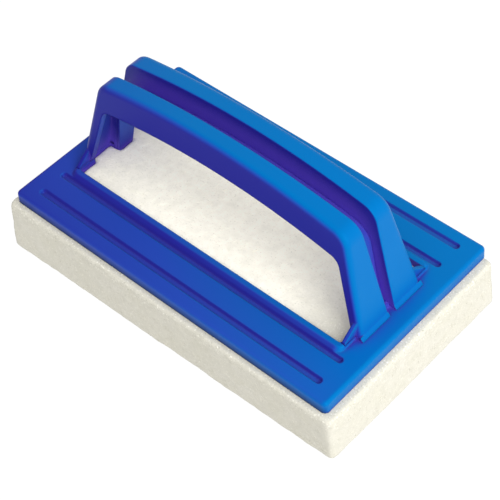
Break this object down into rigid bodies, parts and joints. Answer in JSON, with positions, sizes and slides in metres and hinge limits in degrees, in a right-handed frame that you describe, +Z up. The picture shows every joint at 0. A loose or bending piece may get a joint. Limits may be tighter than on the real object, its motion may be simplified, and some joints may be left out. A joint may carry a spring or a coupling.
{
  "type": "grout float",
  "caption": "Hand float for cleaning grout and tiles: arched double-rail handle on a flat windowed holder over a thick scouring pad that lifts off.",
  "frame": {"origin": "centre of the pad's scouring face, which is the bottom of the object", "axes": "+Z up, from the scouring face to the handle; X along the float, the long way of the handle; Y across it"},
  "size_m": [0.15, 0.0886, 0.0718],
  "materials": {
    "pad_fibre": "rough nonwoven fibre",
    "blue_plastic": "satin moulded polypropylene",
    "hook_tape": "matt moulded hooks"
  },
  "bodies": {
    "pad": {"pad": "pad_fibre"},
    "holder": {"base_frame": "blue_plastic", "front_rail": "blue_plastic", "rear_rail": "blue_plastic", "handle_web": "blue_plastic", "hook_tape_front": "hook_tape", "hook_tape_rear": "hook_tape", "hook_tape_left": "hook_tape", "hook_tape_right": "hook_tape"}
  },
  "joints": [
    {"name": "pad_release", "type": "slide", "parent": "pad", "child": "holder", "axis": [0, 0, 1], "range_m": [0, 0.06]}
  ]
}
